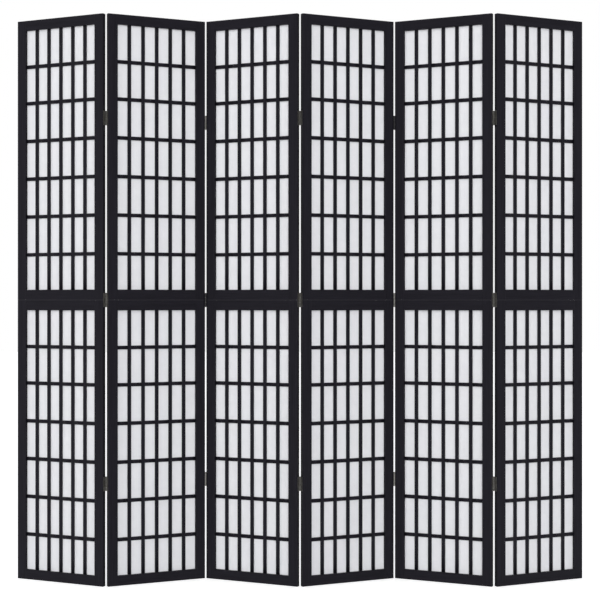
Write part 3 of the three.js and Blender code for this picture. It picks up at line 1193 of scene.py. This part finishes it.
def seen_directly(tree):
    """1 for rays that look at a surface or come off a mirror or through glass, otherwise 0."""
    path = add_node(tree, "ShaderNodeLightPath")
    seen = calculate(tree, "MAXIMUM", path.outputs["Is Camera Ray"], path.outputs["Is Glossy Ray"])
    return calculate(tree, "MAXIMUM", seen, path.outputs["Is Transmission Ray"])


def dark_front(tree):
    """What a mirror sees of the studio: white all round, dark where the camera and its stand are."""
    direction = add_node(tree, "ShaderNodeTexCoord").outputs["Generated"]
    facing = add_node(tree, "ShaderNodeSeparateXYZ", {0: direction})
    shade = spread(tree, facing.outputs["Y"], -0.96, -0.80, DARK_FRONT, 1.0)
    side = spread(tree, facing.outputs["X"], -0.9, 0.9, 1.0, RIGHT_SIDE)
    return calculate(tree, "MULTIPLY", shade, side)


def build_world():
    """White to the camera, a little dimmer as a light, and dark towards the front in reflections."""
    world = bpy.data.worlds.new("studio")
    world.use_nodes = True
    tree = world.node_tree
    strength = spread(tree, seen_directly(tree), 0, 1, WORLD_LIGHT, 1.0)
    glossy = add_node(tree, "ShaderNodeLightPath").outputs["Is Glossy Ray"]
    mirrored = spread(tree, glossy, 0, 1, 1.0, dark_front(tree))
    strength = calculate(tree, "MULTIPLY", strength, mirrored)
    set_inputs(tree, tree.nodes["Background"], {"Color": (1, 1, 1, 1), "Strength": strength})
    return world


bpy.context.scene.world = build_world()
print("world light:", WORLD_LIGHT)

# %% Floor
FLOOR_REACH = 25
FLOOR_COLOUR = (0.72, 0.72, 0.73, 1)
FLOOR_LIFT = 0.64
FLOOR_GLOW = 0.13


def make_floor_paint():
    """Pale matt paint that shows white to the camera and keeps its shadows."""
    material, tree, shader = new_material("floor paint")
    cloud = noise(tree, object_place(tree), 3.0, Detail=4.0)
    set_inputs(tree, shader, {
        "Base Color": FLOOR_COLOUR,
        "Roughness": spread(tree, cloud, 0.3, 0.7, 0.75, 0.9),
        "Specular IOR Level": 0.1,
    })
    lift = spread(tree, seen_directly(tree), 0, 1, FLOOR_GLOW, FLOOR_LIFT)
    glow = add_node(tree, "ShaderNodeEmission", {"Color": (1, 1, 1, 1), "Strength": lift})
    both = add_node(tree, "ShaderNodeAddShader", {0: shader.outputs[0], 1: glow.outputs[0]})
    set_inputs(tree, tree.nodes["Material Output"], {"Surface": both.outputs[0]})
    return material


floor_mesh = bpy.data.meshes.new("floor")
corners = [(x * FLOOR_REACH, y * FLOOR_REACH, 0) for x, y in ((-1, -1), (1, -1), (1, 1), (-1, 1))]
floor_mesh.from_pydata(corners, [], [(0, 1, 2, 3)])
floor_mesh.materials.append(make_floor_paint())
floor = add_object("floor", floor_mesh)
print("floor reaches", FLOOR_REACH, "m")

# %% Lamps
LAMP_SPREAD = math.radians(45)
LAMPS = {
    "front lamp": ((0.4, -6.0, 2.4), 2.09),
    "key lamp": ((-4.6, -3.9, 2.6), 0.49),
    "back lamp": ((0.0, 6.0, 2.4), 1.58),
}

for name, (place, strength) in LAMPS.items():
    lamp = add_object(name, bpy.data.lights.new(name, "SUN"))
    lamp.data.angle = LAMP_SPREAD
    lamp.data.energy = strength
    lamp.location = place
    towards_screen = Vector((0, 0, EYE_HEIGHT)) - lamp.location
    lamp.rotation_euler = towards_screen.to_track_quat("-Z", "Y").to_euler()
    lamp.visible_glossy = False
print("three soft lamps: in front, from the left and behind")

# %% [markdown]
# ## The view transform
#
# The render is shown through the Standard view transform.

# %% View transform
bpy.context.scene.view_settings.view_transform = "Standard"
